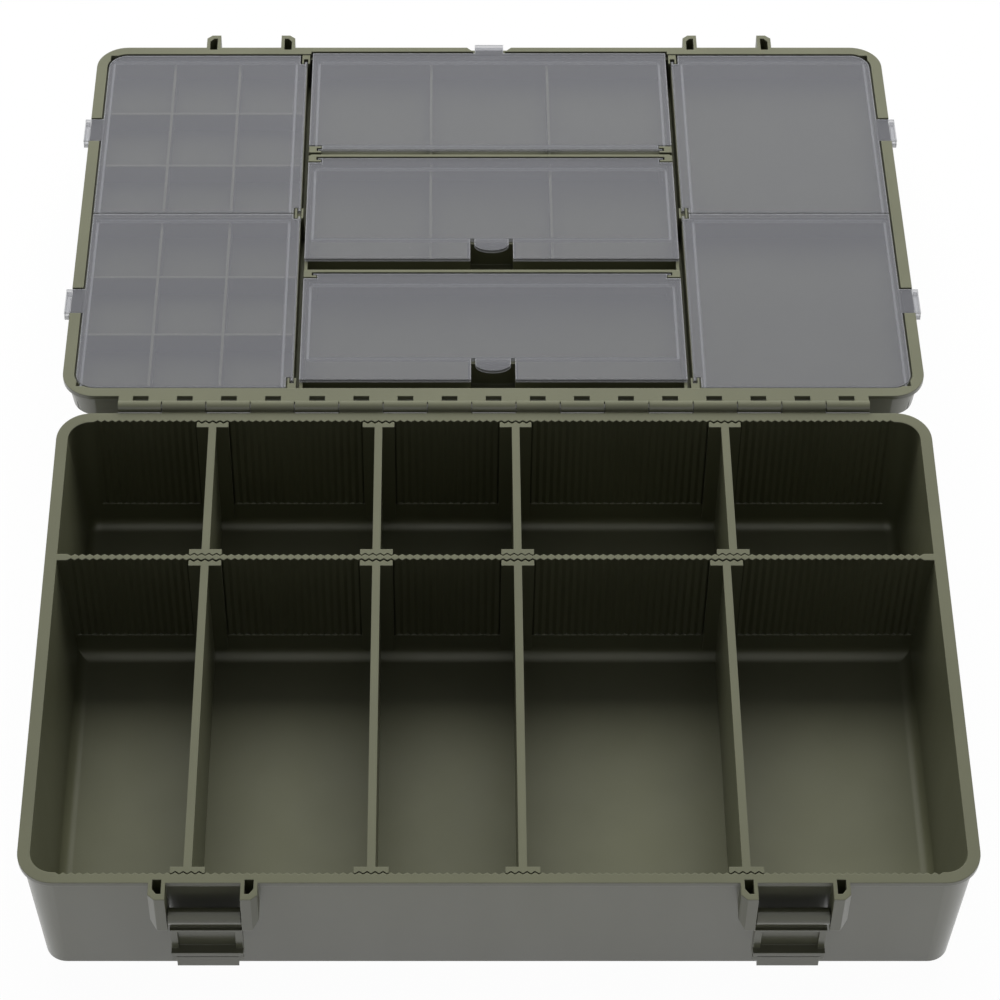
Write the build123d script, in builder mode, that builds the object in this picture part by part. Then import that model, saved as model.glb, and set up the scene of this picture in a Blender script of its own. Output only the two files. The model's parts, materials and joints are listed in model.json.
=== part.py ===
"""Moulded tackle box: a two-bay base with lift-out dividers, and a hinged lid of covered compartments.

Frame: the origin is the middle of the base's underside, X runs to the right, Y to the hinge and Z up.
The lid lies open behind the base with its inside up, the latches hang down and the clear covers are shut.
"""

import math
import os

from build123d import *

# Overall sizes, in millimetres and degrees
box_width = 363.0
box_depth = 232.0
base_height = 65.0
lid_height = 16.0
corner_radius = 14.0
open_angle = 184.6

# Rims and walls of the two shells
rim_width = 4.8
rim_lip = 1.5
rim_thickness = 2.2
rim_gap = 0.4
wall_draft = 3.5
lid_draft = 8.0
base_floor = 2.6
lid_floor = 1.8
base_edge_chamfer = 1.2
lid_edge_chamfer = 1.6
bay_radius = 5.0

# Bays, serrations and dividers
rear_bay = 70.0
centre_wall = 3.2
tooth_pitch = 3.0
groove_depth = 1.0
groove_length = 50.0
crest_relief = 0.05
divider_web = 2.0
divider_bead_width = 3.2
divider_bead_height = 2.4
divider_drop = 0.2
divider_foot = 13.2
divider_foot_thickness = 2.0
divider_clearance = 0.6
foot_teeth = 5
foot_tooth_width = 2.6
front_slots = (-39, -16, 3, 31)
rear_slots = (-39, -16, 3, 32)

# Hinge along the back
base_hinge_offset = 3.4
lid_hinge_offset = 6.6
hinge_knuckles = 17
hinge_length = 314.0
knuckle_radius = 2.6
knuckle_gap = 0.4
pin_radius = 1.3
pin_clearance = 0.3
hinge_strip_gap = 0.5
hinge_window_length = 6.6
hinge_window_width = 4.2
hinge_window_inset = 0.3
bore_sides = 8

# Latches on the front
latch_spacing = 221.8
post_gap = 28.2
post_width = 6.4
post_reach = 7.5
post_front_wall = 2.7
lid_post_reach = 9.0
lid_post_front_wall = 2.4
post_bevel_width = 2.4
post_bevel_depth = 2.2
post_wall = 1.5
post_height = 21.4
lid_post_height = 12.0
post_toe_width = 2.7
post_toe_height = 4.7
pivot_drop = 15.7
pivot_reach = 4.5
trunnion_radius = 1.5
trunnion_length = 1.4
trunnion_clearance = 0.3
lever_barrel = 3.2
lever_side_gap = 0.4
lever_plate = 2.2
lever_offset = 0.8
lever_neck = 9.0
lever_rib = 1.2
lever_rail_width = 2.8
lever_rail_height = 1.5
catch_height = 2.8
hook_bite = 1.8
hook_thickness = 2.2
hook_gap = 0.3
grip_groove = 1.2
grip_groove_reach = 1.2
grip_rib = 2.6
grip_reach = 2.4
lever_lip_length = 3.6
lever_lip_inset = 1.9
lever_lip_reach = 2.6

# Compartments in the lid
cover_recess = 2.4
cover_ledge = 1.2
column_centre = 83.0
column_channel = 2.4
column_wall = 1.4
cell_wall = 1.2
cell_drop = 4.6
cross_wall = 1.6
far_wall_place = 39.2
near_wall_place = -37.8
finger_channel = 8.0
centre_rebate = 1.8

# Clear covers
cover_thickness = 1.6
cover_top_gap = 0.4
cover_gap = 0.8
far_spine_gap = 2.8
cover_pin_radius = 0.7
cover_pin_sides = 8
cover_pin_length = 1.8
cover_pin_clearance = 0.3
socket_length = 6.6
socket_width = 4.2
socket_gap = 0.4
socket_wall = 0.8
skirt_inset = 1.2
skirt_thickness = 1.0
skirt_height = 1.6
tab_width = 15.0
tab_place = 57.0
tab_thickness = 1.0
tab_edge_gap = 0.5
tab_hook = 4.4
tab_grip = 2.0
tab_notch = 1.7
top_tab_width = 13.2
top_notch_flare = 3.2
clasp_width = 18.8
clasp_depth = 13.0
clasp_slot = 1.9
clasp_tongue_depth = 3.2
clasp_bulge = 4.4
clasp_well_depth = 12.0
clasp_well_wall = 1.2

# One overrun serves every cut and every overlap that is fused
overrun = 0.5

# Places that follow from the sizes above
half_width = box_width / 2
half_depth = box_depth / 2
inner_width = box_width - 2 * rim_width
inner_depth = box_depth - 2 * rim_width
inner_radius = corner_radius - rim_width
wall_width = box_width - 2 * rim_lip
wall_depth = box_depth - 2 * rim_lip
wall_radius = corner_radius - rim_lip
wall_thickness = rim_width - rim_lip
draft_run = math.tan(math.radians(wall_draft))
front_crest = -inner_depth / 2
back_crest = inner_depth / 2
centre_front = back_crest - rear_bay - centre_wall
centre_back = back_crest - rear_bay
wall_grooves = int((inner_width / 2 - inner_radius - tooth_pitch / 2) / tooth_pitch)
centre_reach = inner_width / 2 - groove_length * draft_run - tooth_pitch / 2
centre_grooves = int(centre_reach / tooth_pitch)
hinge_y = half_depth + base_hinge_offset
hinge_z = base_height + rim_gap / 2
knuckle_pitch = hinge_length / hinge_knuckles
knuckle_length = knuckle_pitch - knuckle_gap
pivot_y = -half_depth - pivot_reach
pivot_z = base_height - pivot_drop
latch_places = (-latch_spacing / 2, latch_spacing / 2)

# The open lid's own planes: local Y runs away from the hinge and local Z out of its open side
lid_tilt = math.radians(open_angle - 180)
hinge_plane = Plane(
    origin=(0, hinge_y, hinge_z),
    x_dir=(1, 0, 0),
    z_dir=(0, math.sin(lid_tilt), math.cos(lid_tilt)),
)
rim_centre = hinge_plane.from_local_coords(Vector(0, lid_hinge_offset + half_depth, -rim_gap / 2))
lid_plane = Plane(origin=rim_centre, x_dir=hinge_plane.x_dir, z_dir=hinge_plane.z_dir)
lid_axis = Axis(lid_plane.origin, lid_plane.z_dir)


def lid_side_plane(place):
    """A plane across the lid at an X place: local X runs away from the hinge, local Y out of the lid."""
    origin = lid_plane.from_local_coords(Vector(place, 0, 0))
    return Plane(origin=origin, x_dir=lid_plane.y_dir, z_dir=lid_plane.x_dir)


def lid_cross_plane(place):
    """A plane along the lid at a local Y place: local X runs left, local Y out of the lid."""
    origin = lid_plane.from_local_coords(Vector(0, place, 0))
    return Plane(origin=origin, x_dir=-lid_plane.x_dir, z_dir=lid_plane.y_dir)


def post_plan(side, reach, wall=0, front_wall=0):
    """Plan of a latch post, or of the hollow inside it: square on the lever's side, bevelled on the other."""
    inner = side * (post_gap / 2 + wall)
    outer = side * (post_gap / 2 + post_width - wall)
    nose = side * (post_gap / 2 + post_width - post_bevel_width - wall / 2)
    root = rim_lip if wall else rim_lip + wall_thickness / 2
    tip = front_wall - reach
    return [(inner, root), (outer, root), (outer, tip + post_bevel_depth), (nose, tip), (inner, tip)]


def groove_comb(side, count):
    """Plan of a row of grooves, cut from local Y 0 towards a side, as one comb."""
    end = (count + 1 / 2) * tooth_pitch
    points = [(-end, -side * overrun), (-end, side * crest_relief)]
    for groove in range(-count, count + 1):
        middle = groove * tooth_pitch
        points += [(middle, side * groove_depth), (middle + tooth_pitch / 2, side * crest_relief)]
    return points + [(end, -side * overrun)]


def divider_foot_sketch(teeth_only):
    """Plan of a divider's toothed foot, with its face on local Y 0 and its teeth pointing down local Y."""
    reach = foot_teeth // 2
    if not teeth_only:
        with Locations((0, divider_foot_thickness / 2)):
            Rectangle(divider_foot, divider_foot_thickness)
    else:
        with Locations(*[(k * tooth_pitch, 0) for k in range(-reach, reach + 1)]):
            Polygon(
                (-foot_tooth_width / 2, 0),
                (0, -groove_depth),
                (foot_tooth_width / 2, 0),
                (foot_tooth_width / 2, divider_foot_thickness / 2),
                (-foot_tooth_width / 2, divider_foot_thickness / 2),
                align=None,
            )
        Rectangle(divider_foot, 2 * divider_foot_thickness, mode=Mode.INTERSECT)


def box_between(low, high, mode=Mode.ADD):
    """A rectangle from its low corner to its high one, in the sketch that is open."""
    with Locations(((low[0] + high[0]) / 2, (low[1] + high[1]) / 2)):
        Rectangle(high[0] - low[0], high[1] - low[1], mode=mode)


os.makedirs("parts", exist_ok=True)

# Voids of the two bays: drafted like the outer wall, with rounded feet all round
bay_voids = []
for plane, keep in (
    (Plane.XZ.offset(-centre_front), Keep.TOP),
    (Plane.XZ.offset(-centre_back), Keep.BOTTOM),
):
    with BuildPart() as bay:
        with BuildSketch(Plane.XY.offset(base_height)):
            RectangleRounded(inner_width, inner_depth, inner_radius)
        extrude(amount=base_floor - base_height, taper=wall_draft)
        split(bisect_by=plane, keep=keep)
        fillet(bay.faces().sort_by(Axis.Z)[0].edges(), bay_radius)
    bay_voids.append(bay.part)

# Base tub: drafted wall, rim, serrated bays, latch posts and every second hinge knuckle
with BuildPart() as base_tub:
    # Latch posts, each with its outer lower corner cut away
    for place in latch_places:
        for side in (-1, 1):
            with BuildSketch(Plane((place, -half_depth, base_height))):
                Polygon(*post_plan(side, post_reach), align=None)
            extrude(amount=-post_height)
            corner = side * (post_gap / 2 + post_width)
            toe = corner - side * post_toe_width
            foot = Plane((place, 0, base_height - post_height), x_dir=(1, 0, 0), z_dir=(0, -1, 0))
            with BuildSketch(foot):
                Polygon((corner, 0), (corner, post_toe_height), (toe, 0), align=None)
            extrude(amount=half_depth + post_reach + overrun, mode=Mode.SUBTRACT)

    # Wall and rim
    with BuildSketch(Plane.XY.offset(base_height)):
        RectangleRounded(wall_width, wall_depth, wall_radius)
    extrude(amount=-base_height, taper=wall_draft)
    chamfer(base_tub.faces().sort_by(Axis.Z)[0].edges(), base_edge_chamfer)
    with BuildSketch(Plane.XY.offset(base_height - rim_thickness)):
        RectangleRounded(box_width, box_depth, corner_radius)
    extrude(amount=rim_thickness)
    add(bay_voids[0], mode=Mode.SUBTRACT)
    add(bay_voids[1], mode=Mode.SUBTRACT)

    # Hollows of the posts and the holes for the levers' trunnions
    for place in latch_places:
        for side in (-1, 1):
            with BuildSketch(Plane((place, -half_depth, base_height))):
                Polygon(*post_plan(side, post_reach, post_wall, post_front_wall), align=None)
            extrude(amount=post_toe_height + post_wall - post_height, mode=Mode.SUBTRACT)
        with BuildSketch(Plane.YZ.offset(place)):
            with Locations((pivot_y, pivot_z)):
                RegularPolygon(trunnion_radius + trunnion_clearance, bore_sides, major_radius=False)
        extrude(amount=post_gap / 2 + post_wall + overrun, both=True, mode=Mode.SUBTRACT)

    # Hinge knuckles on webs from the rim
    for index in range(1, hinge_knuckles, 2):
        place = (index - (hinge_knuckles - 1) / 2) * knuckle_pitch
        with BuildSketch(Plane.YZ.offset(place)):
            with Locations((hinge_y, hinge_z)):
                Circle(knuckle_radius)
            with Locations((half_depth - overrun, base_height)):
                Rectangle(base_hinge_offset + overrun, rim_thickness, align=(Align.MIN, Align.MAX))
        extrude(amount=knuckle_length / 2, both=True)
    with BuildSketch(Plane.YZ):
        with Locations((hinge_y, hinge_z)):
            RegularPolygon(pin_radius + pin_clearance, bore_sides, major_radius=False)
    extrude(amount=hinge_length / 2, both=True, mode=Mode.SUBTRACT)

    # Serrations: grooves that follow each wall down from the rim and end on a small ledge
    for crest, side, lean, count in (
        (front_crest, -1, draft_run, wall_grooves),
        (back_crest, 1, -draft_run, wall_grooves),
        (centre_front, 1, 0, centre_grooves),
        (centre_back, -1, 0, centre_grooves),
    ):
        run = groove_length * math.hypot(1, lean)
        with BuildSketch(Plane((0, crest, base_height))):
            Polygon(*groove_comb(side, count), align=None)
        extrude(amount=run, dir=(0, lean, -1), mode=Mode.SUBTRACT)
base_tub.part.label = "base_tub"
export_step(base_tub.part, "parts/base_tub.step")

# Steel rod through all the knuckles
with BuildPart() as hinge_pin:
    with BuildSketch(Plane.YZ):
        with Locations((hinge_y, hinge_z)):
            Circle(pin_radius)
    extrude(amount=(hinge_length - knuckle_gap) / 2, both=True)
hinge_pin.part.label = "hinge_pin"
export_step(hinge_pin.part, "parts/hinge_pin.step")

# Lift-out dividers, four in each bay
divider_top = base_height - divider_drop
divider_bottom = base_floor + divider_clearance
foot_bottom = base_floor + bay_radius + divider_clearance
foot_length = divider_top - foot_bottom
teeth_length = groove_length - divider_drop - divider_clearance


def divider_ends(bay):
    """Each end of a bay's divider: the crest it faces at the rim, the way it points and how it leans."""
    if bay == "front":
        return (front_crest, 1, draft_run), (centre_front, -1, 0)
    return (centre_back, 1, 0), (back_crest, -1, -draft_run)


for bay, slots in (("front", front_slots), ("rear", rear_slots)):
    near, far = divider_ends(bay)
    for number, slot in enumerate(slots, start=1):
        place = slot * tooth_pitch
        with BuildPart() as divider:
            # Toothed feet that lie along the walls
            for crest, side, lean in (near, far):
                start = crest + lean * divider_drop + side * divider_clearance
                foot_plane = Plane((place, start, divider_top), x_dir=(side, 0, 0))
                down = (0, lean, -1)
                with BuildSketch(foot_plane):
                    divider_foot_sketch(teeth_only=False)
                extrude(amount=foot_length * math.hypot(1, lean), dir=down)
                with BuildSketch(foot_plane):
                    divider_foot_sketch(teeth_only=True)
                extrude(amount=teeth_length * math.hypot(1, lean), dir=down)
            # Web between the feet, cut back at the bottom to clear the bay's rounded foot
            ends = []
            for crest, side, lean in (near, far):
                start = crest + side * (divider_clearance + divider_foot_thickness / 2)
                at_top = start + lean * divider_drop
                at_foot = start + lean * (base_height - foot_bottom)
                ends.append((at_top, at_foot, at_foot + side * bay_radius))
            bottom = [(ends[0][2], divider_bottom), (ends[1][2], divider_bottom)]
            outline = [(ends[0][1], foot_bottom), *bottom, (ends[1][1], foot_bottom)]
            outline += [(ends[1][0], divider_top), (ends[0][0], divider_top)]
            with BuildSketch(Plane.YZ.offset(place)):
                Polygon(*outline, align=None)
            extrude(amount=divider_web / 2, both=True)
            with BuildSketch(Plane.YZ.offset(place)):
                with Locations((ends[0][0], divider_top)):
                    Rectangle(ends[1][0] - ends[0][0], divider_bead_height, align=(Align.MIN, Align.MAX))
            extrude(amount=divider_bead_width / 2, both=True)
        divider.part.label = f"divider_{bay}_{number}"
        export_step(divider.part, f"parts/divider_{bay}_{number}.step")

# Latch levers, hanging open from the posts: each swings up to hook over a catch on the closed lid
lever_width = post_gap - 2 * lever_side_gap
hook_tip = pivot_reach - (lid_hinge_offset - base_hinge_offset) + hook_bite
hook_drop = pivot_drop + rim_gap + rim_thickness + catch_height + hook_gap
grip_drop = hook_drop + hook_thickness + grip_groove
lip_drop = grip_drop + grip_rib + lever_lip_length
plate_back = lever_offset + lever_plate
rail_front = lever_offset - lever_rail_height
for name, place in zip(("latch_left", "latch_right"), latch_places):
    lever_plane = Plane((place, pivot_y, pivot_z), x_dir=(0, 1, 0), z_dir=(1, 0, 0))
    with BuildPart() as lever:
        # Barrel, neck, cross rib, hook and grip rib across the whole width
        with BuildSketch(lever_plane):
            Circle(lever_barrel)
            box_between((lever_offset, -grip_drop), (plate_back, 0))
            box_between((rail_front, -lever_neck - lever_rib), (plate_back, -lever_neck))
            box_between((-hook_tip, -hook_drop - hook_thickness), (plate_back, -hook_drop))
            box_between((-grip_groove_reach, -grip_drop), (plate_back, -hook_drop))
            box_between((-grip_reach, -grip_drop - grip_rib), (plate_back, -grip_drop))
        extrude(amount=lever_width / 2, both=True)
        # Stiffening rails down both sides
        for side in (-1, 1):
            with BuildSketch(lever_plane.offset(side * (lever_width - lever_rail_width) / 2)):
                box_between((rail_front, -hook_drop), (plate_back, -lever_neck))
            extrude(amount=lever_rail_width / 2, both=True)
        # Finger lip, narrower than the grip
        with BuildSketch(lever_plane):
            box_between((-lever_lip_reach, -lip_drop), (plate_back, -grip_drop))
        extrude(amount=lever_width / 2 - lever_lip_inset, both=True)
        # Trunnions in the posts
        with BuildSketch(lever_plane):
            Circle(trunnion_radius)
        extrude(amount=post_gap / 2 + trunnion_length, both=True)
    lever.part.label = name
    export_step(lever.part, f"parts/{name}.step")

# Lid: where its walls, pockets and cover hinges lie, from the lid's middle
half_inner_width = inner_width / 2
half_inner_depth = inner_depth / 2
pocket_side = half_inner_width - cover_ledge
pocket_end = half_inner_depth - cover_ledge
column_inner = column_centre - column_channel / 2 - column_wall
column_outer = column_centre + column_channel / 2 + column_wall
pocket_floor = lid_floor - lid_height
spine_level = -cover_top_gap - cover_thickness / 2
side_spine = column_centre + (column_channel + column_wall) / 2
far_spine = far_wall_place + cross_wall / 2 + far_spine_gap + cover_pin_radius
middle_spine = far_wall_place - cross_wall / 2 - socket_gap - cover_pin_radius
near_spine = near_wall_place - cross_wall / 2 - socket_gap - cover_pin_radius
middle_free = near_wall_place + cross_wall / 2 + finger_channel
near_free = -pocket_end + finger_channel / 2 + cover_ledge
centre_spines = (far_spine, middle_spine, near_spine)
centre_far_edge = half_inner_depth + centre_rebate

side_pockets = []
for side in (-1, 1):
    xs = sorted((side * column_outer, side * pocket_side))
    for end in (-1, 1):
        ys = sorted((end * cross_wall / 2, end * pocket_end))
        side_pockets.append(((xs[0], ys[0]), (xs[1], ys[1])))
centre_pockets = [
    ((-column_inner, far_wall_place + cross_wall / 2), (column_inner, pocket_end)),
    ((-column_inner, middle_free + cross_wall), (column_inner, far_wall_place - cross_wall / 2)),
    ((-column_inner, near_free + cross_wall), (column_inner, near_wall_place - cross_wall / 2)),
]
finger_channels = [
    ((-column_inner, near_wall_place + cross_wall / 2), (column_inner, middle_free)),
    ((-column_inner, -pocket_end), (column_inner, near_free)),
]

# Side sockets stand at both ends and in the middle of each column, centre ones at both ends of each spine
socket_boxes = []
for side in (-1, 1):
    socket_half = cover_pin_radius + cover_pin_clearance + socket_wall
    socket_face = side_spine + socket_half
    xs = sorted((side * (side_spine - socket_half), side * socket_face))
    for low, high in (
        (-half_inner_depth, -half_inner_depth + socket_length),
        (-socket_length / 2, socket_length / 2),
        (half_inner_depth - socket_length, half_inner_depth),
    ):
        socket_boxes.append(((xs[0], low), (xs[1], high)))
    xs = sorted((side * (column_centre - column_channel / 2), side * (column_inner - socket_width)))
    for spine in centre_spines:
        socket_boxes.append(((xs[0], spine - socket_width / 2), (xs[1], spine + socket_width / 2)))

with BuildPart() as lid_shell:
    with BuildSketch(lid_plane):
        RectangleRounded(wall_width, wall_depth, wall_radius)
    extrude(amount=-lid_height, taper=lid_draft)
    chamfer(lid_shell.faces().sort_by(lid_axis)[0].edges(), lid_edge_chamfer)
    with BuildSketch(lid_plane.offset(-rim_thickness)):
        RectangleRounded(box_width, box_depth, corner_radius)
    extrude(amount=rim_thickness)
    # Catches for the levers' hooks, under the rim between the posts
    with BuildSketch(lid_plane.offset(-rim_thickness - catch_height)):
        for place in latch_places:
            low = (place - post_gap / 2 - overrun, half_depth - rim_width)
            box_between(low, (place + post_gap / 2 + overrun, half_depth))
    extrude(amount=catch_height)

    # Recess for the covers, pockets, finger channels and the narrow channels beside the centre column
    with BuildSketch(lid_plane):
        RectangleRounded(inner_width, inner_depth, inner_radius)
        rebate_half = column_inner + column_wall + cover_gap
        box_between((-rebate_half, 0), (rebate_half, centre_far_edge))
    extrude(amount=-cover_recess, mode=Mode.SUBTRACT)
    with BuildSketch(lid_plane):
        for low, high in side_pockets + centre_pockets + finger_channels:
            box_between(low, high)
        for side in (-1, 1):
            with Locations((side * column_centre, 0)):
                Rectangle(column_channel, 2 * pocket_end)
    extrude(amount=pocket_floor, mode=Mode.SUBTRACT)

    # Cross walls that rise to the rim behind the centre covers' spines
    with BuildSketch(lid_plane.offset(pocket_floor)):
        for wall in (far_wall_place, near_wall_place):
            with Locations((0, wall)):
                Rectangle(2 * column_inner + 2 * overrun, cross_wall)
    extrude(amount=-pocket_floor - cover_top_gap)

    # Socket pillars for the covers' pins
    with BuildSketch(lid_plane.offset(pocket_floor)):
        for low, high in socket_boxes:
            box_between(low, high)
    extrude(amount=-pocket_floor - cover_top_gap)
    socket_bore = 2 * (cover_pin_radius + cover_pin_clearance)
    for side in (-1, 1):
        with BuildSketch(lid_cross_plane(0)):
            with Locations((-side * side_spine, spine_level)):
                Rectangle(socket_bore, socket_bore)
        extrude(amount=half_inner_depth - socket_length / 2, both=True, mode=Mode.SUBTRACT)
    for spine in centre_spines:
        with BuildSketch(lid_side_plane(0)):
            with Locations((spine, spine_level)):
                Rectangle(socket_bore, socket_bore)
        extrude(amount=column_inner - socket_width / 2, both=True, mode=Mode.SUBTRACT)

    # Notches in the rim for the covers' snap tabs, the far one with flared sides
    notch_half = top_tab_width / 2 + tab_edge_gap
    notch_edge = half_depth - top_notch_flare
    with BuildSketch(lid_plane):
        for end in (-1, 1):
            with Locations((0, end * tab_place)):
                Rectangle(box_width + 2 * overrun, tab_width + 2 * tab_edge_gap)
        Rectangle(inner_width - 2 * overrun, inner_depth, mode=Mode.SUBTRACT)
        box_between((-notch_half, half_inner_depth - overrun), (notch_half, half_depth + overrun))
        Polygon(
            (-notch_half, notch_edge),
            (notch_half, notch_edge),
            (notch_half + top_notch_flare, half_depth),
            (notch_half + top_notch_flare, half_depth + overrun),
            (-notch_half - top_notch_flare, half_depth + overrun),
            (-notch_half - top_notch_flare, half_depth),
            align=None,
        )
    extrude(amount=-tab_notch, mode=Mode.SUBTRACT)

    # Finger wells under the sprung clasps, open to the finger channels and walled off from the pockets
    well_half = clasp_width / 2 + clasp_well_wall
    with BuildSketch(lid_plane.offset(pocket_floor)):
        for free in (middle_free, near_free):
            box_between((-well_half, free), (well_half, free + clasp_well_depth))
    extrude(amount=-pocket_floor - cover_recess)
    with BuildSketch(lid_plane):
        for free in (middle_free, near_free):
            well_back = free + clasp_well_depth - clasp_well_wall
            box_between((-clasp_width / 2, free - overrun), (clasp_width / 2, well_back))
    extrude(amount=pocket_floor, mode=Mode.SUBTRACT)

    # Hollow latch posts, which meet those of the base
    for place in latch_places:
        post_place = lid_plane.from_local_coords(Vector(place, half_depth, 0))
        post_plane = Plane(origin=post_place, x_dir=-lid_plane.x_dir, z_dir=lid_plane.z_dir)
        for side in (-1, 1):
            with BuildSketch(post_plane):
                Polygon(*post_plan(side, lid_post_reach), align=None)
            extrude(amount=-lid_post_height)
            with BuildSketch(post_plane):
                Polygon(*post_plan(side, lid_post_reach, post_wall, lid_post_front_wall), align=None)
            extrude(amount=post_wall - lid_post_height, mode=Mode.SUBTRACT)

    # Hinge strip with a window at every knuckle, and webs to the lid's own knuckles
    strip_edge = knuckle_radius + hinge_strip_gap
    window_edge = knuckle_radius + hinge_window_inset
    knuckle_places = [(index - (hinge_knuckles - 1) / 2) * knuckle_pitch for index in range(hinge_knuckles)]
    with BuildSketch(hinge_plane.offset(-rim_gap / 2)):
        box_between((-hinge_length / 2, strip_edge), (hinge_length / 2, lid_hinge_offset + overrun))
        for place in knuckle_places[::2]:
            box_between((place - knuckle_length / 2, 0), (place + knuckle_length / 2, lid_hinge_offset))
        for place in knuckle_places:
            low = (place - hinge_window_length / 2, window_edge)
            high = (place + hinge_window_length / 2, window_edge + hinge_window_width)
            box_between(low, high, mode=Mode.SUBTRACT)
    extrude(amount=-rim_thickness)
    for place in knuckle_places[::2]:
        with BuildSketch(Plane.YZ.offset(place)):
            with Locations((hinge_y, hinge_z)):
                Circle(knuckle_radius)
        extrude(amount=knuckle_length / 2, both=True)
    with BuildSketch(Plane.YZ):
        with Locations((hinge_y, hinge_z)):
            RegularPolygon(pin_radius + pin_clearance, bore_sides, major_radius=False)
    extrude(amount=hinge_length / 2, both=True, mode=Mode.SUBTRACT)
lid_shell.part.label = "lid_shell"
export_step(lid_shell.part, "parts/lid_shell.step")

# Cell walls inside the left pockets and the two far centre pockets
cell_top = -cell_drop
for name, (low, high), columns, rows in (
    ("cells_left_near", side_pockets[0], 3, 3),
    ("cells_left_far", side_pockets[1], 3, 3),
    ("cells_centre_far", centre_pockets[0], 3, 1),
    ("cells_centre_middle", centre_pockets[1], 3, 1),
):
    width = high[0] - low[0]
    depth = high[1] - low[1]
    middle = ((low[0] + high[0]) / 2, (low[1] + high[1]) / 2)
    with BuildPart() as cells:
        with BuildSketch(lid_plane.offset(pocket_floor)):
            for column in range(1, columns):
                with Locations((low[0] + width * column / columns, middle[1])):
                    Rectangle(cell_wall, depth)
            for row in range(1, rows):
                with Locations((middle[0], low[1] + depth * row / rows)):
                    Rectangle(width, cell_wall)
        extrude(amount=cell_top - pocket_floor)
    cells.part.label = name
    export_step(cells.part, f"parts/{name}.step")


def skirt_sketch(xs, ys):
    """Plan of a cover's skirt: a thin frame between two X places and two Y places."""
    box_between((xs[0], ys[0]), (xs[1], ys[1]))
    inner_low = (xs[0] + skirt_thickness, ys[0] + skirt_thickness)
    box_between(inner_low, (xs[1] - skirt_thickness, ys[1] - skirt_thickness), mode=Mode.SUBTRACT)


# Clear covers beside the centre column: hinged along their inner edge, snapped over the rim at the outer one
plate_level = -cover_top_gap - cover_thickness
for name, side, end in (
    ("cover_left_near", -1, -1),
    ("cover_left_far", -1, 1),
    ("cover_right_near", 1, -1),
    ("cover_right_far", 1, 1),
):
    spine_start = socket_length / 2 + socket_gap
    spine_end = half_inner_depth - socket_length - socket_gap
    outer = half_inner_width - cover_gap
    far = half_inner_depth - cover_gap
    with BuildPart() as cover:
        with BuildSketch(lid_plane.offset(plate_level)):
            RectangleRounded(2 * outer, 2 * far, inner_radius - cover_gap)
            xs = sorted((side * side_spine, side * half_width))
            ys = sorted((end * cover_gap / 2, end * half_depth))
            with Locations((sum(xs) / 2, sum(ys) / 2)):
                Rectangle(xs[1] - xs[0], ys[1] - ys[0], mode=Mode.INTERSECT)
            clear = socket_face + 2 * socket_gap
            for low, high in ((0, spine_start), (spine_end, half_depth)):
                ys = sorted((end * low, end * high))
                with Locations((0, sum(ys) / 2)):
                    Rectangle(2 * clear, ys[1] - ys[0], mode=Mode.SUBTRACT)
        extrude(amount=cover_thickness)
        # Skirt that drops just inside the pocket
        with BuildSketch(lid_plane.offset(plate_level)):
            xs = sorted((side * (clear + skirt_inset), side * (pocket_side - skirt_inset)))
            ys = sorted((end * (cross_wall / 2 + skirt_inset), end * (pocket_end - skirt_inset)))
            skirt_sketch(xs, ys)
        extrude(amount=-skirt_height)
        # Spine rod, whose ends are the hinge pins
        with BuildSketch(lid_cross_plane(end * (spine_start - cover_pin_length))):
            with Locations((-side * side_spine, spine_level)):
                RegularPolygon(cover_pin_radius, cover_pin_sides)
        extrude(amount=end * (spine_end - spine_start + 2 * cover_pin_length))
        # Snap tab over the rim
        hook_face = half_width + tab_edge_gap
        with BuildSketch(lid_cross_plane(end * tab_place)):
            xs = sorted((-side * (outer - overrun), -side * (hook_face + tab_grip)))
            box_between((xs[0], -cover_top_gap - tab_thickness), (xs[1], -cover_top_gap))
            xs = sorted((-side * hook_face, -side * (hook_face + tab_grip)))
            box_between((xs[0], -tab_hook), (xs[1], -cover_top_gap))
        extrude(amount=tab_width / 2, both=True)
    cover.part.label = name
    export_step(cover.part, f"parts/{name}.step")

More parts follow.
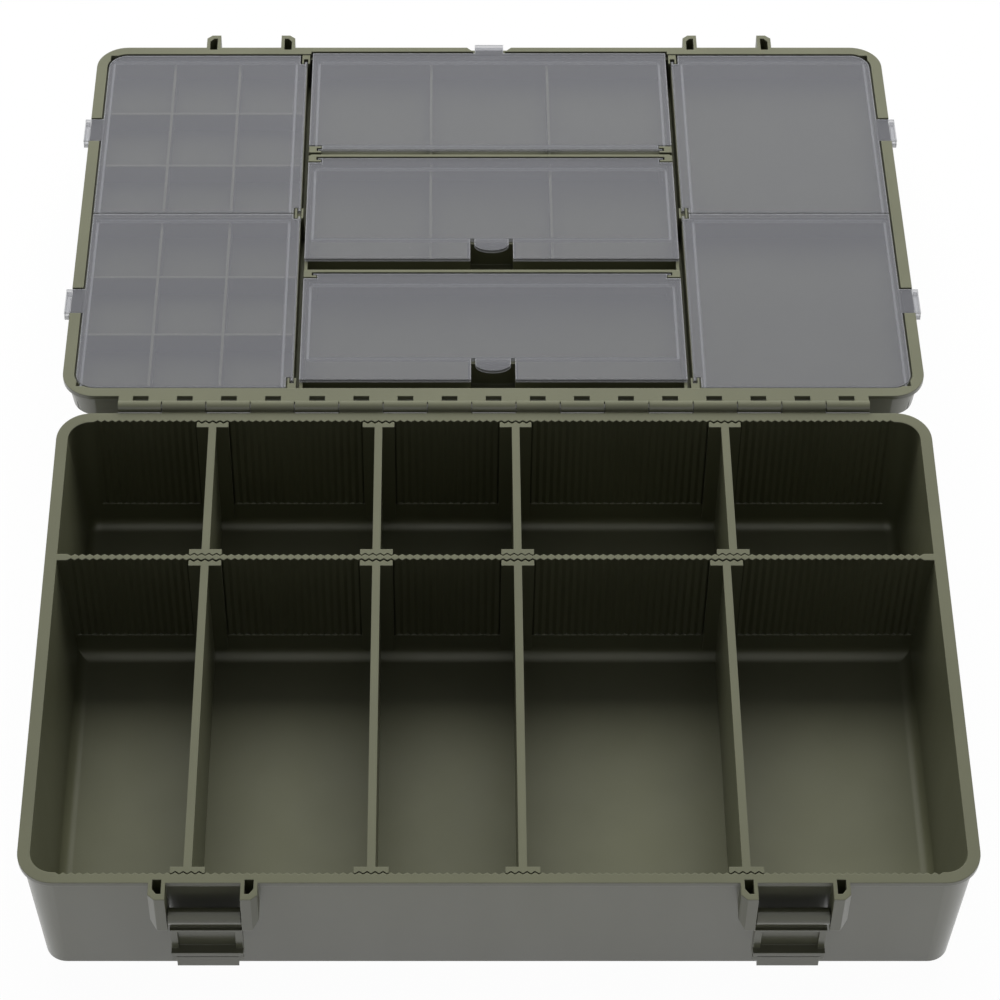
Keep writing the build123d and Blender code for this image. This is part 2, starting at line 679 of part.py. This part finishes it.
# Clear covers of the centre column: hinged along one long edge, held at the middle of the other
half_cover = column_inner + column_wall
for name, spine, free in (
    ("cover_centre_far", far_spine, centre_far_edge - cover_gap),
    ("cover_centre_middle", middle_spine, middle_free - cover_gap),
    ("cover_centre_near", near_spine, near_free - cover_gap),
):
    away = 1 if free > spine else -1
    spine_half = column_inner - socket_width - socket_gap
    notch = socket_width / 2 + 2 * socket_gap
    with BuildPart() as cover:
        with BuildSketch(lid_plane.offset(plate_level)):
            ys = sorted((spine, free))
            box_between((-half_cover, ys[0]), (half_cover, ys[1]))
            ys = sorted((spine, spine + away * notch))
            for side in (-1, 1):
                xs = sorted((side * spine_half, side * half_width))
                with Locations((sum(xs) / 2, sum(ys) / 2)):
                    Rectangle(xs[1] - xs[0], ys[1] - ys[0], mode=Mode.SUBTRACT)
            if away < 0:
                with Locations((0, free + clasp_depth / 2)):
                    Rectangle(clasp_width, clasp_depth, mode=Mode.SUBTRACT)
                with Locations((0, free + clasp_depth)):
                    Rectangle(clasp_width - 2 * clasp_slot, 2 * clasp_tongue_depth)
                with Locations((0, free + clasp_depth - clasp_tongue_depth)):
                    Ellipse(clasp_width / 2 - clasp_slot, clasp_bulge)
        extrude(amount=cover_thickness)
        # Skirt that drops just inside the pocket
        with BuildSketch(lid_plane.offset(plate_level)):
            skirt_far = pocket_end if away > 0 else free + clasp_depth
            ys = sorted((spine + away * (notch + skirt_inset), skirt_far - away * skirt_inset))
            skirt_sketch((skirt_inset - column_inner, column_inner - skirt_inset), ys)
        extrude(amount=-skirt_height)
        # Spine rod, whose ends are the hinge pins
        with BuildSketch(lid_side_plane(0)):
            with Locations((spine, spine_level)):
                RegularPolygon(cover_pin_radius, cover_pin_sides)
        extrude(amount=spine_half + cover_pin_length, both=True)
        if away > 0:
            hook_face = half_depth + tab_edge_gap
            tip = (hook_face + tab_grip, -cover_top_gap)
            with BuildSketch(lid_side_plane(0)):
                box_between((free - overrun, -cover_top_gap - tab_thickness), tip)
                box_between((hook_face, -tab_hook), tip)
            extrude(amount=top_tab_width / 2, both=True)
    cover.part.label = name
    export_step(cover.part, f"parts/{name}.step")
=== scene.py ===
# %% [markdown]
# # Dressing a tackle box
# The box arrives from CAD as finished solids, each at its own place in metres. This lesson gives them their
# finishes, adds one small piece, and sets up a camera, a floor and light. The first step loads the solids.

# %% Load the imported box
import json
import math

import bpy
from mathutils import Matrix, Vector


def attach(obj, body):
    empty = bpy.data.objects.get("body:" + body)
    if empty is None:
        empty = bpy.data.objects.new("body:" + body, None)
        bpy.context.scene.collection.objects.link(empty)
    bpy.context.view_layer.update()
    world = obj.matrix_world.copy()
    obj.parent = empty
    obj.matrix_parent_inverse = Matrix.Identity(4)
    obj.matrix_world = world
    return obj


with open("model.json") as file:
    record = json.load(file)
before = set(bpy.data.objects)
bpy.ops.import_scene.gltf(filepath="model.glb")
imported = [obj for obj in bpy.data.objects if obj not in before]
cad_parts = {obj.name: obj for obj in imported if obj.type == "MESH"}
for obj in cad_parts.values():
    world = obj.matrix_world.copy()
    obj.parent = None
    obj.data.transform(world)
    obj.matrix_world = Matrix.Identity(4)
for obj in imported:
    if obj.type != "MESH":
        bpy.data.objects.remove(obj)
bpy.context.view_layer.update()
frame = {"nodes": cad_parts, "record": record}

# %% [markdown]
# ## Where the open lid lies
# Some finishes and one small piece are placed in the lid's own directions. The lid lies a few degrees past
# flat, so its rim's middle and its upward direction follow from the hinge and that tilt.

# %% The lid's directions
LID_TILT = math.radians(4.6)
LID_HINGE_OFFSET = 0.0066
LID_HALF_DEPTH = 0.116

joints = {joint["name"]: joint for joint in frame["record"]["behaviour"]["joints"]}
lid_hinge = Vector(joints["lid_hinge"]["pos_m"])
lid_up = Vector((0, math.sin(LID_TILT), math.cos(LID_TILT)))
lid_away = Vector((0, math.cos(LID_TILT), -math.sin(LID_TILT)))
lid_middle = lid_hinge + lid_away * (LID_HINGE_OFFSET + LID_HALF_DEPTH)
print("middle of the lid's rim", [round(value, 4) for value in lid_middle])

# %% [markdown]
# ## The camera
# The box was photographed from in front and well above, with a long lens, so its sides hardly converge.
# A camera could be aimed at a target object, but a level camera with one tilt is easier to reason about:
# it looks straight along Y, tipped down by the elevation. The picture was cropped off centre, which the
# lens shift repeats without turning the camera.

# %% Camera
FOCAL_PX = 3440.4
FRAME_PX = 1000
AXIS_PX = 447.55
ELEVATION = math.radians(50.688)
CAMERA_PLACE = (-0.0193, -0.8207, 1.1519)

camera_data = bpy.data.cameras.new("photo_camera")
camera_data.lens = FOCAL_PX / FRAME_PX * camera_data.sensor_width
camera_data.shift_x = 0.5 - AXIS_PX / FRAME_PX
camera = bpy.data.objects.new("photo_camera", camera_data)
camera.location = CAMERA_PLACE
camera.rotation_euler = (math.pi / 2 - ELEVATION, 0, 0)
bpy.context.collection.objects.link(camera)
bpy.context.scene.camera = camera
bpy.context.scene.view_settings.view_transform = "Standard"
print("lens", round(camera_data.lens, 1), "mm")

# %% [markdown]
# ## Writing shaders as sums
# A finish is a graph of nodes, and most of the graph is arithmetic on masks. Wiring that by hand hides the
# sum, so a small class wraps a socket and turns Python's operators into Math nodes. The reflected forms let a
# plain number stand first, as in 1 - mask.


# %% Wires
class Wire:
    """One output socket of a finish, usable in Python sums."""

    def __init__(self, finish, socket):
        self.finish = finish
        self.socket = socket

    def sum(self, operation, first, second):
        return self.finish.node("ShaderNodeMath", {"operation": operation}, {0: first, 1: second})

    def __add__(self, other):
        return self.sum("ADD", self, other)

    def __radd__(self, other):
        return self.sum("ADD", other, self)

    def __sub__(self, other):
        return self.sum("SUBTRACT", self, other)

    def __rsub__(self, other):
        return self.sum("SUBTRACT", other, self)

    def __mul__(self, other):
        return self.sum("MULTIPLY", self, other)

    def __rmul__(self, other):
        return self.sum("MULTIPLY", other, self)


print("wires ready")

# %% [markdown]
# ## One way to make a node
# Every other node comes from one method, which sets the node up first and then fills or links its sockets.
# The order matters, because a setting such as a data type can change which sockets a node has. A few short
# methods on top of it name what this box needs: a place, some noise, a soft step and a mix of colours.


# %% Finishes
class Finish:
    """A material, or the world, that is built node by node."""

    def __init__(self, owner):
        owner.use_nodes = True
        self.owner = owner
        self.tree = owner.node_tree
        self.tree.nodes.clear()

    def node(self, kind, settings, sockets, output=0):
        """Make a node: its settings first, then its socket values or links. Returns one output."""
        made = self.tree.nodes.new(kind)
        for key, value in settings.items():
            setattr(made, key, value)
        for key, value in sockets.items():
            if isinstance(value, Wire):
                self.tree.links.new(value.socket, made.inputs[key])
            else:
                made.inputs[key].default_value = value
        return Wire(self, made.outputs[output])

    def surface(self, shader, output="ShaderNodeOutputMaterial"):
        """Send a shader to the output, and return what it was made for."""
        made = self.tree.nodes.new(output)
        self.tree.links.new(shader.socket, made.inputs["Surface"])
        return self.owner

    def vector(self, operation, first, second, output=0):
        """Vector maths on two vectors."""
        return self.node("ShaderNodeVectorMath", {"operation": operation}, {0: first, 1: second}, output)

    def place(self):
        """Where a point lies on its piece, in metres."""
        return self.node("ShaderNodeTexCoord", {}, {}, "Object")

    def noise(self, scale, detail, stretch=(1, 1, 1)):
        """Soft noise from 0 to 1, with features about 1 / scale metres across."""
        sockets = {"Vector": self.vector("MULTIPLY", self.place(), stretch)}
        return self.node("ShaderNodeTexNoise", {}, sockets | {"Scale": scale, "Detail": detail})

    def ramp(self, value, low, high):
        """Rise smoothly from 0 to 1 as a value goes from low to high."""
        settings = {"clamp": True, "interpolation_type": "SMOOTHSTEP"}
        sockets = {"Value": value, "From Min": low, "From Max": high}
        return self.node("ShaderNodeMapRange", settings, sockets)

    def blend(self, factor, first, second):
        """Mix two colours."""
        sockets = {"Factor": factor, 6: first, 7: second}
        return self.node("ShaderNodeMix", {"data_type": "RGBA"}, sockets, 2)


print("finishes ready")

# %% [markdown]
# ## Masks from the shape
# Moulded plastic looks different on an edge, in a groove and on an outer wall. Those places could be painted
# by hand, but Blender can find them: the Bevel node rounds the normal near an edge, ambient occlusion finds
# narrow gaps, where shade is painted, and a face's direction tells a wall from a rim. Each mask runs from 0
# to 1.

# %% Masks
BEVEL_SAMPLES = 6
EDGE_BEND = 0.25
CREVICE_SAMPLES = 8
CREVICE_OPEN_SHARES = (0.1, 0.45)
FACING_STEP = (0.5, 0.9)
OUTER_WALL_REACH = (0.085, 0.1)


def round_edges(finish, radius):
    """The normal with every sharp edge rounded to a radius, and a mask of where it was rounded."""
    rounded = finish.node("ShaderNodeBevel", {"samples": BEVEL_SAMPLES}, {"Radius": radius})
    flat = finish.node("ShaderNodeNewGeometry", {}, {}, "Normal")
    alike = finish.vector("DOT_PRODUCT", rounded, flat, "Value")
    return rounded, finish.ramp(1 - alike, 0.0, EDGE_BEND)


def crevices(finish, reach):
    """1 in gaps and grooves that are narrower than a reach, and 0 in the open."""
    settings = {"samples": CREVICE_SAMPLES}
    open_share = finish.node("ShaderNodeAmbientOcclusion", settings, {"Distance": reach}, "AO")
    return 1 - finish.ramp(open_share, *CREVICE_OPEN_SHARES)


def face_direction(finish):
    """Where a face looks, in its piece's own directions."""
    return finish.node("ShaderNodeTexCoord", {}, {}, "Normal")


def facing(finish, direction):
    """1 on faces that look along a direction, and 0 on those square to it."""
    alike = finish.vector("DOT_PRODUCT", face_direction(finish), direction, "Value")
    return finish.ramp(alike, *FACING_STEP)


def along(finish, middle, direction):
    """How far a point lies from a middle along a direction, in metres."""
    away = finish.vector("SUBTRACT", finish.place(), middle)
    return finish.vector("DOT_PRODUCT", away, direction, "Value")


def outer_walls(finish, middle):
    """1 on walls that face away from a middle, and 0 on rims and on everything inside."""
    return finish.ramp(along(finish, middle, face_direction(finish)), *OUTER_WALL_REACH)


print("masks ready")

# %% [markdown]
# ## Olive moulded plastic
# Shells, dividers and latches are one olive polypropylene. It comes out of a spark-eroded mould, so it has a
# fine grain, a satin gloss that wanders a little, and edges that the mould rounds to half a millimetre and
# that hands polish. The edges are also painted paler, partly as wear and partly as a painted highlight, and
# grooves and gaps in the shells get painted shade. An image could give the grain, but noise in the piece's
# own metres keeps its scale right on every piece. The rounded edges are shading only, because at this size
# they are just a glint.

# %% Olive plastic
OLIVE = (0.130, 0.133, 0.082, 1)
OLIVE_DARK = (0.114, 0.117, 0.071, 1)
# Edge colour: partly wear, partly a painted highlight.
OLIVE_EDGE_WEAR_AND_HIGHLIGHT = (0.19, 0.195, 0.125, 1)
OLIVE_EDGE_SHARE = 0.5
# Painted shade for grooves and narrow gaps.
OLIVE_PAINTED_CREVICE_SHADE = (0.012, 0.012, 0.008, 1)
# Painted highlight for the tops of the cell walls.
OLIVE_PAINTED_TOP_LIGHT = (0.235, 0.24, 0.17, 1)
OLIVE_IOR = 1.52
POLISH_ROUGHNESS = 0.2
CLOUD_SCALE, CLOUD_DETAIL, CLOUD_STEP, CLOUD_SHEEN = 22, 4, (0.3, 0.7), 0.08
STREAK_SCALE, STREAK_DETAIL, STREAK_STRETCH, STREAK_SHEEN = 60, 3, (1, 1, 0.15), 0.10
PIT_SCALE, PIT_DETAIL, PIT_DEPTH = 2200, 2, 0.00006
EDGE_SHEEN = 0.08
CREVICE_REACH = 0.003


def olive_plastic(name, gloss, grain, edge_radius, polish=0.0, middle=None, painted_light_direction=None):
    """Satin olive plastic with a moulded grain.

    About a middle, grooves get painted shade and only outer walls are polished. Edges are painted paler,
    partly as wear and partly as a painted highlight. Faces along a given direction are painted paler, a
    painted highlight.
    """
    finish = Finish(bpy.data.materials.new(name))
    rounded, edges = round_edges(finish, edge_radius)
    clouds = finish.noise(CLOUD_SCALE, CLOUD_DETAIL)
    colour = finish.blend(finish.ramp(clouds, *CLOUD_STEP), OLIVE_DARK, OLIVE)
    # Painted highlight and wear: edges are painted paler, partly as wear and partly as a painted highlight.
    colour = finish.blend(edges * OLIVE_EDGE_SHARE, colour, OLIVE_EDGE_WEAR_AND_HIGHLIGHT)
    if middle is not None:
        # Painted shade: narrow gaps and grooves are painted almost black.
        colour = finish.blend(crevices(finish, CREVICE_REACH), colour, OLIVE_PAINTED_CREVICE_SHADE)
        polish = outer_walls(finish, middle) * polish
    if painted_light_direction is not None:
        # Painted highlight: faces that look along the given direction are painted paler.
        colour = finish.blend(facing(finish, painted_light_direction), colour, OLIVE_PAINTED_TOP_LIGHT)
    streaks = finish.noise(STREAK_SCALE, STREAK_DETAIL, STREAK_STRETCH)
    wander = (streaks - 0.5) * STREAK_SHEEN + (clouds - 0.5) * CLOUD_SHEEN
    roughness = gloss + wander - edges * EDGE_SHEEN
    pits = finish.noise(PIT_SCALE, PIT_DETAIL)
    bump = {"Strength": grain, "Distance": PIT_DEPTH, "Height": pits, "Normal": rounded}
    normal = finish.node("ShaderNodeBump", {}, bump)
    sockets = {"Base Color": colour, "Roughness": roughness, "Normal": normal, "IOR": OLIVE_IOR}
    sockets |= {"Coat Weight": polish, "Coat Roughness": POLISH_ROUGHNESS}
    return finish.surface(finish.node("ShaderNodeBsdfPrincipled", {}, sockets))


print("olive plastic ready")

# %% [markdown]
# ## Who wears which olive
# The two shells share one gloss and grain, and each polishes the walls that face away from its own middle,
# because those are the ones that rub against a bag. The latches are handled most and shine all over. The tops
# of the lid's cell walls are painted paler, as a painted highlight, which makes them show through.

# %% Olive finishes
SHELL = {"gloss": 0.42, "grain": 0.12, "edge_radius": 0.0006}
DIVIDER = {"gloss": 0.40, "grain": 0.25, "edge_radius": 0.0004}
LATCH = {"gloss": 0.36, "grain": 0.20, "edge_radius": 0.0005, "polish": 0.5}
WALL_POLISH = 0.6
BASE_MIDDLE = Vector((0, 0, 0.03))
CELL_NODES = ("cells_left_near", "cells_left_far", "cells_centre_far", "cells_centre_middle")

finishes = {
    "base_tub": olive_plastic("base_tub_satin", **SHELL, polish=WALL_POLISH, middle=BASE_MIDDLE),
    "lid_shell": olive_plastic("lid_shell_satin", **SHELL, polish=WALL_POLISH, middle=lid_middle),
    "olive_divider": olive_plastic("olive_divider_satin", **DIVIDER),
    "olive_latch": olive_plastic("olive_latch_satin", **LATCH),
}
cell_finish = olive_plastic("cell_walls_satin", **SHELL, painted_light_direction=lid_up)
finishes |= {node: cell_finish for node in CELL_NODES}
print("olive finishes:", ", ".join(finishes))

# %% [markdown]
# ## Clear covers
# The seven covers are thin clear plastic, faintly hazy, with a cool cast beside the olive. What lies under
# them shows through. Real refraction in so thin a plate is hardly visible and stops the light that falls
# into the pockets, so a share of each surface is simply see-through. The haze is on the top of the plate, and
# the underside is almost clear, or the pockets would get too little light. The moulded edges, and the skirts
# and hooks below the plate, are painted paler as a painted highlight. Edges that face the front are painted
# dark, as painted shade.

# %% Clear cover finish
COVER_HAZE = (0.208, 0.211, 0.233, 1)
# Painted highlight for edges and skirts, then painted shade for faces to the front.
COVER_PAINTED_HIGHLIGHT = (0.70, 0.71, 0.74, 1)
COVER_FRONT_PAINTED_SHADE = (0.03, 0.03, 0.035, 1)
COVER_IOR = 1.57
COVER_EDGE_RADIUS = 0.0009
FRONT = (0, -1, 0)
PLATE_LEVEL = -0.002
SKIRT_STEP = (PLATE_LEVEL - 0.0004, PLATE_LEVEL - 0.0001)
TOP_STEP = (PLATE_LEVEL + 0.0004, PLATE_LEVEL + 0.0012)
UNDER_ALPHA, TOP_ALPHA, EDGE_ALPHA, SKIRT_ALPHA = 0.04, 0.46, 0.25, 0.66
HAZE_SCALE, HAZE_DETAIL, HAZE_WANDER = 18, 3, 0.05
COVER_ROUGHNESS, COVER_ROUGHNESS_WANDER = 0.16, 0.12


def clear_plastic(name):
    """Hazy clear plastic with a clearer underside, a painted highlight on its edges and painted shade in
    front.
    """
    finish = Finish(bpy.data.materials.new(name))
    rounded, edges = round_edges(finish, COVER_EDGE_RADIUS)
    clouds = finish.noise(HAZE_SCALE, HAZE_DETAIL)
    level = along(finish, lid_middle, lid_up)
    plate = finish.ramp(level, *SKIRT_STEP)
    top = finish.ramp(level, *TOP_STEP)
    # Painted highlight: edges are painted pale.
    colour = finish.blend(edges, COVER_HAZE, COVER_PAINTED_HIGHLIGHT)
    # Painted shade: faces that look to the front are painted dark.
    colour = finish.blend(facing(finish, FRONT), colour, COVER_FRONT_PAINTED_SHADE)
    # Painted highlight: the skirts and hooks below the plate are painted pale.
    colour = finish.blend(plate, COVER_PAINTED_HIGHLIGHT, colour)
    haze = top * (TOP_ALPHA + (clouds - 0.5) * HAZE_WANDER)
    alpha = UNDER_ALPHA + haze + edges * EDGE_ALPHA + (1 - plate) * SKIRT_ALPHA
    roughness = COVER_ROUGHNESS + clouds * COVER_ROUGHNESS_WANDER
    sockets = {"Base Color": colour, "Roughness": roughness, "Alpha": alpha}
    sockets |= {"Normal": rounded, "IOR": COVER_IOR}
    return finish.surface(finish.node("ShaderNodeBsdfPrincipled", {}, sockets))


finishes["clear_cover"] = clear_plastic("clear_cover_haze")
print("cover finish ready")

# %% [markdown]
# ## Steel hinge rod
# A drawn steel rod runs through the knuckles and shows only at its ends and in the gaps. Drawing leaves fine
# lines along it, so the noise behind its colour and roughness is stretched along X.

# %% Steel finish
STEEL = (0.24, 0.24, 0.23, 1)
STEEL_DULL = (0.14, 0.14, 0.135, 1)
LINE_SCALE, LINE_DETAIL, LINE_STRETCH = 1800, 3, (0.02, 1, 1)
STEEL_ROUGHNESS, LINE_ROUGHNESS = 0.25, 0.2


def drawn_steel(name):
    """Steel with fine lines along X."""
    finish = Finish(bpy.data.materials.new(name))
    lines = finish.noise(LINE_SCALE, LINE_DETAIL, LINE_STRETCH)
    colour = finish.blend(lines, STEEL_DULL, STEEL)
    roughness = STEEL_ROUGHNESS + lines * LINE_ROUGHNESS
    sockets = {"Base Color": colour, "Metallic": 1.0, "Roughness": roughness}
    return finish.surface(finish.node("ShaderNodeBsdfPrincipled", {}, sockets))


finishes["steel_rod"] = drawn_steel("steel_rod_drawn")
print("steel finish ready")

# %% [markdown]
# ## Dressing the nodes
# Every solid already has its true shape, so it only takes its finish. A node that has a finish of its own, as
# the two shells and the cell walls have, takes that. Any other takes the one of its material slot in the
# record.

# %% Dress the nodes
for part in frame["record"]["subparts"]:
    mesh = frame["nodes"][part["node"]].data
    mesh.materials.clear()
    mesh.materials.append(finishes.get(part["node"]) or finishes[part["material_slot"]])

# %% [markdown]
# ## The lid's corner walls
# The pockets run square into the lid's corners, where the drafted outer wall is round, and break through it.
# A curved strip of wall inside each corner closes the slit. It could be cut from a cylinder, but a ring of
# quads between two arcs is enough. It follows the wall's draft just under the outer surface, so it shows only
# where the wall is open.

# %% One corner's wall
CORNER_MIDDLE = (0.1675, 0.102)
CORNER_RADIUS = 0.0124
CORNER_WALL = 0.0009
CORNER_DRAFT = math.tan(math.radians(8))
CORNER_TOP, CORNER_BOTTOM = -0.003, -0.0142
CORNER_START, CORNER_SWEEP = 15, 60
CORNER_STEPS = 12
CORNER_SECTION = (
    (0, CORNER_TOP),
    (0, CORNER_BOTTOM),
    (CORNER_WALL, CORNER_BOTTOM),
    (CORNER_WALL, CORNER_TOP),
)


def corner_point(side, end, turn, inset, level):
    """A point of a corner's wall, inset from its drafted outer surface."""
    radius = CORNER_RADIUS + level * CORNER_DRAFT - inset
    x = side * (CORNER_MIDDLE[0] + radius * math.cos(turn))
    y = end * (CORNER_MIDDLE[1] + radius * math.sin(turn))
    return lid_middle + Vector((x, 0, 0)) + lid_away * y + lid_up * level


def corner_wall(side, end, first):
    """Points and faces of one corner's strip, with faces counted from a first point."""
    points = []
    for step in range(CORNER_STEPS + 1):
        turn = math.radians(CORNER_START + CORNER_SWEEP * step / CORNER_STEPS)
        points += [corner_point(side, end, turn, inset, level) for inset, level in CORNER_SECTION]
    faces = [[0, 1, 2, 3], [4 * CORNER_STEPS + k for k in (3, 2, 1, 0)]]
    for step in range(CORNER_STEPS):
        for k in range(4):
            near, far = 4 * step + k, 4 * step + (k + 1) % 4
            faces.append([near, near + 4, far + 4, far])
    if side * end < 0:
        faces = [face[::-1] for face in faces]
    return points, [[first + corner for corner in face] for face in faces]


print("corner from", CORNER_TOP, "to", CORNER_BOTTOM, "m below the rim's top")

# %% [markdown]
# ## All four corners in one piece
# The corners mirror each other, so the same strip is made four times and joined into one mesh. The piece
# rides on the lid, and takes the shell's finish, because it stands for the shell's own wall.

# %% Corner walls
points, faces = [], []
for side in (-1, 1):
    for end in (-1, 1):
        more_points, more_faces = corner_wall(side, end, len(points))
        points += more_points
        faces += more_faces
corner_mesh = bpy.data.meshes.new("lid_corner_walls")
corner_mesh.from_pydata(points, [], faces)
corner_mesh.materials.append(finishes["lid_shell"])
corner_walls = bpy.data.objects.new("lid_corner_walls", corner_mesh)
bpy.context.collection.objects.link(corner_walls)
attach(corner_walls, "lid")
print("corner walls:", len(faces), "faces")

# %% [markdown]
# ## The floor
# The box stands on white. A floor that is only painted white comes out grey wherever the light falls off, so
# the camera is shown mostly plain white, and a small share of the lit floor keeps the box's shadow. The same
# rule holds for reflections and for what is seen through clear plastic.

# %% Floor
WHITE = (1, 1, 1, 1)
FLOOR_PAINT = (0.86, 0.86, 0.86, 1)
FLOOR_SIZE = 6.0
FLOOR_SHOWN_SHARE = 0.975


def seen_directly(finish):
    """1 for the camera's rays and for reflections and views through clear pieces."""
    seen = finish.node("ShaderNodeLightPath", {}, {}, "Is Camera Ray")
    for name in ("Is Glossy Ray", "Is Transmission Ray"):
        seen = seen.sum("MAXIMUM", seen, finish.node("ShaderNodeLightPath", {}, {}, name))
    return seen


def white_floor(name):
    """Pale floor that the camera sees as white, with a faint shadow."""
    finish = Finish(bpy.data.materials.new(name))
    lit = finish.node("ShaderNodeBsdfDiffuse", {}, {"Color": FLOOR_PAINT})
    white = finish.node("ShaderNodeEmission", {}, {"Color": WHITE, "Strength": 1.0})
    share = seen_directly(finish) * FLOOR_SHOWN_SHARE
    return finish.surface(finish.node("ShaderNodeMixShader", {}, {0: share, 1: lit, 2: white}))


bpy.ops.mesh.primitive_plane_add(size=FLOOR_SIZE, location=(0, 0, 0))
floor = bpy.context.object
floor.name = "floor"
floor.data.materials.append(white_floor("floor_white"))
print("floor", FLOOR_SIZE, "m")

# %% [markdown]
# ## The background
# The world does two jobs. The camera and reflections see it as white, and everything else gets only a dim
# even fill from it, so that walls which face the front stay almost black, as they are in the photo.

# %% World
AMBIENT = 0.085


def white_studio(name):
    """White all round for the camera and for reflections, and a dim even fill for the rest."""
    finish = Finish(bpy.data.worlds.new(name))
    fill = finish.node("ShaderNodeBackground", {}, {"Color": WHITE, "Strength": AMBIENT})
    white = finish.node("ShaderNodeBackground", {}, {"Color": WHITE, "Strength": 1.0})
    shown = finish.node("ShaderNodeMixShader", {}, {0: seen_directly(finish), 1: fill, 2: white})
    return finish.surface(shown, "ShaderNodeOutputWorld")


bpy.context.scene.world = white_studio("white_studio")
print("ambient fill", AMBIENT)

# %% [markdown]
# ## The light
# The photo has a large soft light above and behind, and nothing in front: rims and covers are bright. One
# wide area lamp does that. It is hidden from reflections, which show the white background instead.

# %% Softbox
SOFTBOX_PLACE = Vector((0, 1.55, 1.45))
SOFTBOX_AIM = Vector((0, 0.1, 0.03))
SOFTBOX_SIZE = 2.0
SOFTBOX_POWER = 70

softbox_data = bpy.data.lights.new("rear_softbox", "AREA")
softbox_data.shape = "SQUARE"
softbox_data.size = SOFTBOX_SIZE
softbox_data.energy = SOFTBOX_POWER
softbox = bpy.data.objects.new("rear_softbox", softbox_data)
softbox.location = SOFTBOX_PLACE
softbox.rotation_euler = (SOFTBOX_AIM - SOFTBOX_PLACE).to_track_quat("-Z", "Y").to_euler()
softbox.visible_glossy = False
bpy.context.collection.objects.link(softbox)
print("rear_softbox", SOFTBOX_POWER, "W")

# %% [markdown]
# ## Closing

# %% Finish
print("finished")
